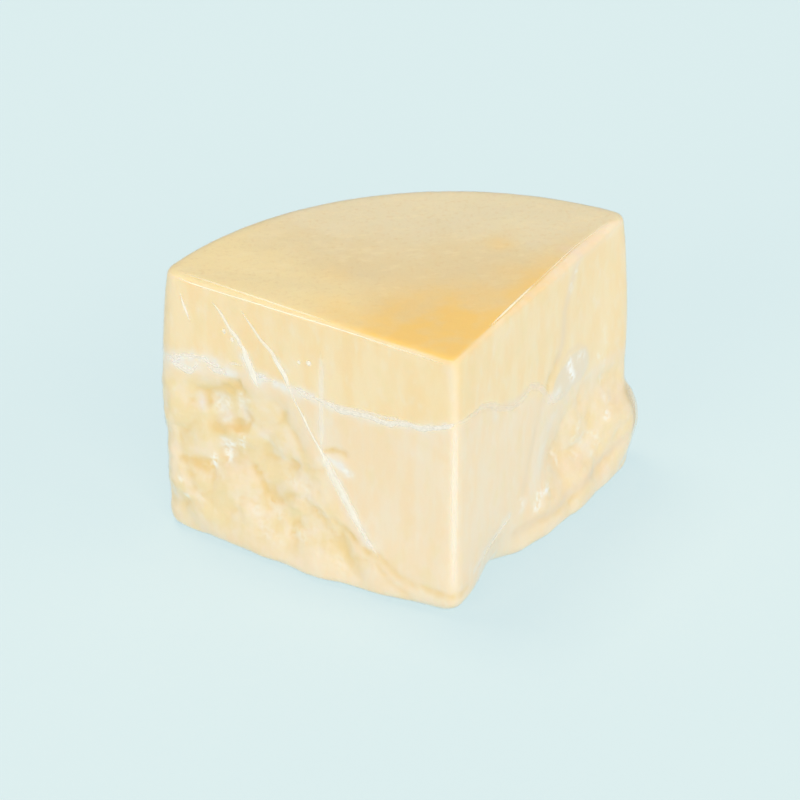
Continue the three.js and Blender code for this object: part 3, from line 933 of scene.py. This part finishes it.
LEFT_CREASES = [
    (0.75, [(139, 124, 0.3), (137, 118, 0.8), (134, 111, 0.4)]),
    (0.60, [(123, 124, 0.3), (118, 119, 0.8), (114, 113, 0.9), (110, 109, 1.2), (107, 103, 0.8)]),
    (0.90, [(109, 107, 0.6), (107, 105, 1.2), (106, 101, 1.8), (104, 97, 2.0), (102, 92, 1.8),
            (100, 88, 0.6)]),
    (0.50, [(108, 124, 0.4), (103, 118, 0.8), (98, 112, 1.0), (92, 107, 1.2), (90, 103, 0.9)]),
    (0.85, [(93, 107, 0.8), (90, 103, 1.4), (86, 97, 1.4), (84, 91, 0.8)]),
    (0.65, [(84, 91, 0.6), (78, 81, 0.8), (73, 72, 0.8), (67, 64, 0.9), (61, 54, 0.6)]),
    (0.35, [(68, 66, 0.6), (64, 60, 2.2), (60, 52, 3.0), (54, 42, 2.4), (48, 33, 1.7), (38, 21, 0.5)]),
    (0.45, [(63, 58, 0.4), (57, 47, 1.0), (50, 36, 1.0), (41, 25, 0.4)]),
    (0.14, [(68, 116, 0.6), (68, 104, 1.4), (68, 94, 1.5), (68, 81, 1.4), (68, 68, 1.0),
            (67, 64, 0.4)]),
    (0.70, [(118, 111, 0.6), (117, 111, 1.4), (116, 111, 0.6)]),
    (0.60, [(114, 108, 0.8), (113, 108, 1.5), (112, 107, 0.6)]),
    (0.70, [(80, 107, 0.6), (79, 107, 1.4), (78, 107, 0.6)]),
    (0.95, [(75, 109, 0.8), (74, 108, 1.8), (73, 107, 0.8)]),
]
RIGHT_CREASES = [
    (0.20, [(49, 29, 0.4), (47, 26, 0.9), (43, 25, 0.9), (40, 23, 0.9), (30, 19, 0.8), (21, 16, 0.4)]),
]


def face_place(face, along, up):
    """A point on a face's plane, from its millimetres along and up."""
    plan = wheel_axis + FACES[face]["along"] * along * MM
    return (plan[0], plan[1], up * MM)


def on_face_line(face, stroke):
    """The places and half widths of a stroke drawn on a face."""
    return [(face_place(face, along, up), half * MM) for along, up, half in stroke]


END_WHITENESS = 0.1


def strokes_mesh(name, strokes):
    """Open lines that fade at their ends. A stroke is its whiteness and its places with half widths."""
    places, lines, widths, whites = [], [], [], []
    for whiteness, points in strokes:
        first = len(places)
        for place, half_width in points:
            places.append(place)
            widths.append(half_width)
            whites.append(whiteness)
        whites[first] *= END_WHITENESS
        whites[-1] *= END_WHITENESS
        lines += [(i, i + 1) for i in range(first, len(places) - 1)]
    mesh = bpy.data.meshes.new(name)
    mesh.from_pydata(places, lines, [])
    paint(mesh, "half_width", widths)
    paint(mesh, "whiteness", whites)
    return mesh


# The pleat tree: a line is laid on the film, crumpled, and given a flat lens for its section.
pleat_tree, given = shape_tree(
    "film_pleats", ["Step", "Wander", "Wander size", "Rise", "Crumple size"], objects=["Film"]
)
SECTION_SIDES = 12
UNDER_FILM = 0.12 * MM
PLEAT_CONTRAST = 1.2


def film_under(tree, place):
    """The film's nearest point to a place, and its way out there."""
    wrap = add_node(tree, "GeometryNodeObjectInfo", {"Object": given.outputs["Film"]}).outputs["Geometry"]
    inputs = {"Geometry": wrap, "Sample Position": place}
    foot = add_node(tree, "GeometryNodeProximity", inputs, target_element="FACES")
    film_normal = add_node(tree, "GeometryNodeInputNormal").outputs[0]
    way = add_node(
        tree,
        "GeometryNodeSampleNearestSurface",
        {"Mesh": wrap, "Value": film_normal, "Sample Position": place},
        data_type="FLOAT_VECTOR",
    )
    return foot.outputs["Position"], way.outputs[0]


place = add_node(pleat_tree, "GeometryNodeInputPosition").outputs[0]
line = add_node(pleat_tree, "GeometryNodeMeshToCurve", {"Mesh": given.outputs["Geometry"]})
round_line = add_node(
    pleat_tree, "GeometryNodeCurveSplineType", {"Curve": line.outputs[0]}, spline_type="CATMULL_ROM"
)
stepped = add_node(
    pleat_tree,
    "GeometryNodeResampleCurve",
    {"Curve": round_line.outputs[0], "Length": given.outputs["Step"]},
    mode="LENGTH",
)
aside = wandered(pleat_tree, place, given.outputs["Wander size"], given.outputs["Wander"])
strayed = moved_to(pleat_tree, stepped.outputs[0], aside)
foot, way = film_under(pleat_tree, place)
laid = moved_to(pleat_tree, strayed, foot)
standing = add_node(
    pleat_tree, "GeometryNodeSetCurveNormal", {"Curve": laid, "Normal": way}, mode="FREE"
)
ring = add_node(pleat_tree, "GeometryNodeCurvePrimitiveCircle", {"Resolution": SECTION_SIDES, "Radius": 1.0})
ring_place = add_node(pleat_tree, "ShaderNodeSeparateXYZ", {0: place})
section = keep_value(pleat_tree, ring.outputs[0], "up", ring_place.outputs["X"])
section = keep_value(pleat_tree, section, "across", ring_place.outputs["Y"])
uneven_width = patchiness(pleat_tree, place, given.outputs["Wander size"], 3.0, PLEAT_CONTRAST)
tube = add_node(
    pleat_tree,
    "GeometryNodeCurveToMesh",
    {
        "Curve": standing.outputs[0],
        "Profile Curve": section,
        "Scale": times(pleat_tree, point_value(pleat_tree, "half_width"), uneven_width),
        "Fill Caps": True,
    },
)
foot, way = film_under(pleat_tree, place)
ruffled = patchiness(pleat_tree, place, given.outputs["Crumple size"], 2.0, PLEAT_CONTRAST)
above = sum_up(pleat_tree, "MAXIMUM", point_value(pleat_tree, "up"), 0.0)
below = sum_up(pleat_tree, "MINIMUM", point_value(pleat_tree, "up"), 0.0)
height = times(pleat_tree, above, ruffled, given.outputs["Rise"], point_value(pleat_tree, "half_width"))
height = sum_up(pleat_tree, "MULTIPLY_ADD", below, UNDER_FILM, height)
on_film = of_vectors(pleat_tree, "ADD", foot, of_vectors(pleat_tree, "SCALE", way, height))
end_tree(pleat_tree, given, moved_to(pleat_tree, tube.outputs[0], on_film))


MEAN_MOTTLE = 0.95


def creased_film(name, tint, fleck, mottling):
    """Doubled film, white in a pleat's middle and clear at its sides. The fleck is its mottling's size."""
    material, nodes, output = new_material(name)
    object_place = add_node(nodes, "ShaderNodeTexCoord").outputs["Object"]
    across = painted(nodes, "across")
    from_side = sum_up(nodes, "SUBTRACT", 1.0, times(nodes, across, across))
    mottle = patchiness(nodes, object_place, fleck, 2.0, mottling, MEAN_MOTTLE)
    white_share = times(nodes, painted(nodes, "whiteness"), rise(nodes, from_side, 0.0, 0.9), mottle)
    white_share = sum_up(nodes, "MAXIMUM", sum_up(nodes, "MINIMUM", white_share, 1.0), 0.0)
    clear = add_node(nodes, "ShaderNodeBsdfTransparent", {"Color": (1, 1, 1, 1)})
    white = add_node(nodes, "ShaderNodeBsdfDiffuse", {"Color": tint})
    shaders = {0: white_share, 1: clear.outputs[0], 2: white.outputs[0]}
    mixed = add_node(nodes, "ShaderNodeMixShader", shaders)
    nodes.links.new(mixed.outputs[0], output.inputs["Surface"])
    return material


crumpled_white = creased_film("crumpled_film", (0.84, 0.775, 0.675, 1), 3.0 * MM, 1.5)
smooth_white = creased_film("smooth_film", (0.90, 0.84, 0.72, 1), 8 * MM, 0.8)
# Pale lines on the edges: white film that is also a painted highlight
edge_line_and_highlight_white = creased_film("stretched_film", (0.93, 0.84, 0.62, 1), 14 * MM, 0.8)


def lay_pleats(name, strokes, material, step, wander, wander_size, rise_share, crumple_size):
    """A piece of pleats on the film, so thin that they don't darken the cheese under them."""
    pleats = shaped_piece(
        name,
        strokes_mesh(name, strokes),
        pleat_tree,
        {
            "Film": film,
            "Step": step,
            "Wander": wander,
            "Wander size": wander_size,
            "Rise": rise_share,
            "Crumple size": crumple_size,
            "Material": material,
        },
    )
    pleats.visible_shadow = False
    pleats.visible_diffuse = False


# The seam's way round the back, from near the right face to near the left one, in degrees from the middle
RIM_SEAM_FROM = math.degrees(half_turn) - 4
RIM_SEAM_TO = 2 - math.degrees(half_turn)
RIM_SEAM_POINTS = 15
RIM_SEAM_HEIGHTS = (0.655, 0.675)
RIM_SEAM_HALF_WIDTHS = (0.8, 1.6)
FRONT_SEAM_HALF_WIDTH = 0.8 * MM
seam_draw = random.Random(12)
rim_seam = []
for rim_turn in np.linspace(RIM_SEAM_FROM, RIM_SEAM_TO, RIM_SEAM_POINTS):
    seam_place = wheel_place(1.0, rim_turn, seam_draw.uniform(*RIM_SEAM_HEIGHTS))
    rim_seam.append((seam_place, seam_draw.uniform(*RIM_SEAM_HALF_WIDTHS) * MM))
front_seam = [((front_edge.x, front_edge.y, FRONT_SEAM * HEIGHT), FRONT_SEAM_HALF_WIDTH)]
lay_pleats(
    "film_seam",
    [
        (0.6, rim_seam),
        (0.70, on_face_line("left", SEAM_CRISP_LEFT) + front_seam),
        (0.16, front_seam + on_face_line("right", SEAM_RIGHT)),
    ]
    + [(white, on_face_line("left", stroke)) for white, stroke in LEFT_SEAM_PARTS],
    crumpled_white,
    step=0.7 * MM,
    wander=1.2 * MM,
    wander_size=6 * MM,
    rise_share=0.22,
    crumple_size=5 * MM,
)

# Creases on the back run off the seam, up or down, and lean a few degrees. A step is its share of the way.
BACK_TURNS = np.linspace(-38, 38, 9)
BACK_LEAN = 7
BACK_STEPS = (0.0, 0.3, 0.65, 1.0)
ABOVE_SEAM = (0.94, 0.68)
BELOW_SEAM = 0.64
BELOW_SEAM_ENDS = (0.1, 0.4)
END_HALF_WIDTH = 0.25
MIDDLE_GAIN = 0.9
BACK_WHITENESS = 0.6
back_draw = random.Random(5)
back_creases = []
for back_turn in BACK_TURNS:
    lean = back_draw.uniform(-BACK_LEAN, BACK_LEAN)
    high, low = ABOVE_SEAM if back_draw.random() < 0.5 else (BELOW_SEAM, back_draw.uniform(*BELOW_SEAM_ENDS))
    crease = []
    for share in BACK_STEPS:
        crease_place = wheel_place(1.0, back_turn + lean * share, high + (low - high) * share)
        half_width = END_HALF_WIDTH + MIDDLE_GAIN * math.sin(math.pi * share)
        crease.append((crease_place, half_width * MM))
    back_creases.append((BACK_WHITENESS, crease))
# The edge lines: shares of the height or the radius with half widths in millimetres, or points on a face.
# They are pale lines of film that are also painted highlights on the edges.
FRONT_HIGHLIGHT_LINE = [(0.75, 0.6), (0.70, 1.2), (0.55, 1.5), (0.40, 1.5), (0.28, 1.2), (0.15, 0.6)]
# A painted highlight down the front edge, laid as a faint pleat of white film
front_highlight_line = [((front_edge.x, front_edge.y, up * HEIGHT), half * MM) for up, half in FRONT_HIGHLIGHT_LINE]
lay_pleats(
    "film_creases",
    [(white, on_face_line("left", stroke)) for white, stroke in LEFT_CREASES]
    + [(white, on_face_line("right", stroke)) for white, stroke in RIGHT_CREASES]
    + back_creases
    + [(0.14, front_highlight_line)],
    smooth_white,
    step=0.7 * MM,
    wander=0.7 * MM,
    wander_size=9 * MM,
    rise_share=0.2,
    crumple_size=5 * MM,
)

LEFT_EDGE_LINE = [(142, 131, 0.2), (129, 130, 0.4), (94, 130, 0.4), (55, 130, 0.4), (8, 129, 0.25)]
SECOND_LINE = [(0.93, 0.2), (0.84, 0.3), (0.74, 0.4), (0.62, 0.4), (0.50, 0.3), (0.42, 0.2)]
RIGHT_EDGE_LINE = [(0.22, 0.2), (0.30, 0.6), (0.42, 0.6), (0.50, 0.3)]
RIGHT_EDGE_FAINT = [(0.48, 0.2), (0.60, 0.4), (0.75, 0.4), (0.92, 0.2)]
SECOND_LINE_TURN = -43.8


def right_edge_place(radius_share):
    """A point where the top's worn right edge begins, from its share of the radius along that edge."""
    along = radius_share * WHEEL_RADIUS
    plan = wheel_axis + FACES["right"]["along"] * along - FACES["right"]["out"] * worn_width(along)
    return (plan[0], plan[1], HEIGHT)


# The taut lines on the top's edges, painted highlights drawn as white film
lay_pleats(
    "film_stretched_edges",
    [
        (0.80, on_face_line("left", LEFT_EDGE_LINE)),
        (0.55, [(wheel_place(reach, SECOND_LINE_TURN), half * MM) for reach, half in SECOND_LINE]),
        (0.75, [(right_edge_place(reach), half * MM) for reach, half in RIGHT_EDGE_LINE]),
        (0.35, [(right_edge_place(reach), half * MM) for reach, half in RIGHT_EDGE_FAINT]),
    ],
    edge_line_and_highlight_white,
    step=1.2 * MM,
    wander=0.3 * MM,
    wander_size=20 * MM,
    rise_share=0.25,
    crumple_size=12 * MM,
)


# The floor
# A plain pale table top, one dull sheet that the chunk stands on. It lights itself in part, so that shadows
# stay faint.
FLOOR_HALF = 9.0
FLOOR_GLOW = (0.45, 0.626, 0.712, 1)
FLOOR_COLOUR = (0.25, 0.22, 0.145, 1)

floor_mesh = bpy.data.meshes.new("floor")
floor_corners = [(x * FLOOR_HALF, y * FLOOR_HALF, 0) for x, y in ((-1, -1), (1, -1), (1, 1), (-1, 1))]
floor_mesh.from_pydata(floor_corners, [], [(0, 1, 2, 3)])
floor = bpy.data.objects.new("floor", floor_mesh)
bpy.context.scene.collection.objects.link(floor)
floor_material, nodes, output = new_material("floor")
floor_shader = add_node(
    nodes,
    "ShaderNodeBsdfPrincipled",
    {
        "Base Color": FLOOR_COLOUR,
        "Roughness": 1.0,
        "Specular IOR Level": 0.0,
        "Emission Color": FLOOR_GLOW,
        "Emission Strength": 1.0,
    },
)
nodes.links.new(floor_shader.outputs[0], output.inputs["Surface"])
floor_mesh.materials.append(floor_material)


# The lights
# Soft boxes in front, at both sides, above and, weaker, behind, in a pale room. Two narrow strips beside the
# chunk put the glints on the film, which doesn't mirror the boxes.
BOX_COLOUR = (1.0, 0.97, 0.95)


def soft_box(name, place, width, height, watts, mirrored):
    """A soft box at a place, turned to the chunk's middle. The film mirrors it or not."""
    data = bpy.data.lights.new(name, "AREA")
    data.shape = "RECTANGLE"
    data.size = width
    data.size_y = height
    data.energy = watts
    data.color = BOX_COLOUR
    light = bpy.data.objects.new(name, data)
    light.location = place
    light.visible_glossy = mirrored
    to_chunk = Vector((0, 0, HEIGHT / 2)) - Vector(place)
    light.rotation_euler = to_chunk.to_track_quat("-Z", "Y").to_euler()
    bpy.context.scene.collection.objects.link(light)


# Each box: its name, its place, its width and height in metres, its watts, and whether the film mirrors it
BOXES = [
    ("front_box", (0.0, -5.9, 3.6), 4.9, 3.1, 177, False),
    ("left_box", (-4.2, -3.5, 2.2), 2.7, 3.1, 86, False),
    ("right_box", (4.5, -2.8, 2.0), 2.7, 3.1, 79, False),
    ("top_box", (-1.3, 1.5, 5.9), 2.1, 2.1, 110, False),
    ("back_box", (0.8, 5.2, 2.2), 4.0, 3.0, 34, False),
    ("left_strip", (-4.2, -3.5, 2.2), 0.4, 3.1, 13, True),
    ("right_strip", (4.5, -2.8, 2.0), 0.4, 3.1, 13, True),
]
for box in BOXES:
    soft_box(*box)

ROOM_COLOUR = (0.98, 0.98, 0.97, 1)
ROOM_STRENGTH = 0.42
room = bpy.data.worlds.new("pale_room")
room.use_nodes = True
room.node_tree.nodes["Background"].inputs["Color"].default_value = ROOM_COLOUR
room.node_tree.nodes["Background"].inputs["Strength"].default_value = ROOM_STRENGTH
bpy.context.scene.world = room
bpy.context.scene.view_settings.view_transform = "Standard"


# The camera
# It looks down on the chunk from the front, a little from the left. It stands far off with a long lens, so
# that upright edges stay nearly upright.
CAMERA_TURN = math.radians(-13.7)
CAMERA_RISE = math.radians(32.3)
CAMERA_DISTANCE = 1.8
CAMERA_LENS = 183.6
CAMERA_SENSOR = 36
CAMERA_AIM = Vector((-0.0085, 0.0019, 0.0659))

camera_data = bpy.data.cameras.new("camera")
camera_data.lens = CAMERA_LENS
camera_data.sensor_width = CAMERA_SENSOR
camera = bpy.data.objects.new("camera", camera_data)
to_camera = Vector(
    (
        math.sin(CAMERA_TURN) * math.cos(CAMERA_RISE),
        -math.cos(CAMERA_TURN) * math.cos(CAMERA_RISE),
        math.sin(CAMERA_RISE),
    )
)
camera.location = CAMERA_AIM + CAMERA_DISTANCE * to_camera
camera.rotation_euler = to_camera.to_track_quat("Z", "Y").to_euler()
bpy.context.scene.collection.objects.link(camera)
bpy.context.scene.camera = camera
